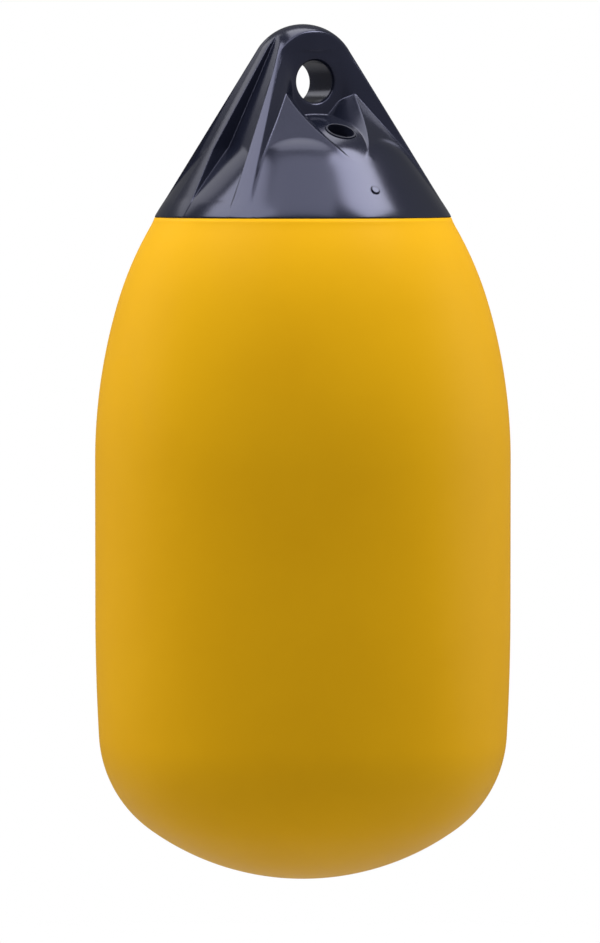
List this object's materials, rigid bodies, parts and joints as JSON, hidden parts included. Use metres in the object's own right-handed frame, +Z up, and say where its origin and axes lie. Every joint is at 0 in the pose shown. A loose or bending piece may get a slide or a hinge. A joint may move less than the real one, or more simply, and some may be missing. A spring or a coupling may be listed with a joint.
{
  "type": "inflatable marine buoy",
  "caption": "Bullet-shaped inflatable vinyl buoy with a moulded conical ropehold, ribbed rope eye and screw valve.",
  "frame": {"origin": "centre of the rope eye's bore, midway between the eye plate's two faces", "axes": "+Z up along the buoy's axis from its round bottom to the eye, +Y along the eye's bore towards the back, +X across; the valve is on the -Y side"},
  "size_m": [0.2899, 0.29, 0.596],
  "materials": {
    "yellow_vinyl": "satin",
    "navy_vinyl": "gloss",
    "valve_plastic": "satin"
  },
  "bodies": {
    "root": {"body": "yellow_vinyl", "ropehold": "navy_vinyl", "valve_insert": "valve_plastic", "valve_screw": "valve_plastic"}
  },
  "joints": []
}
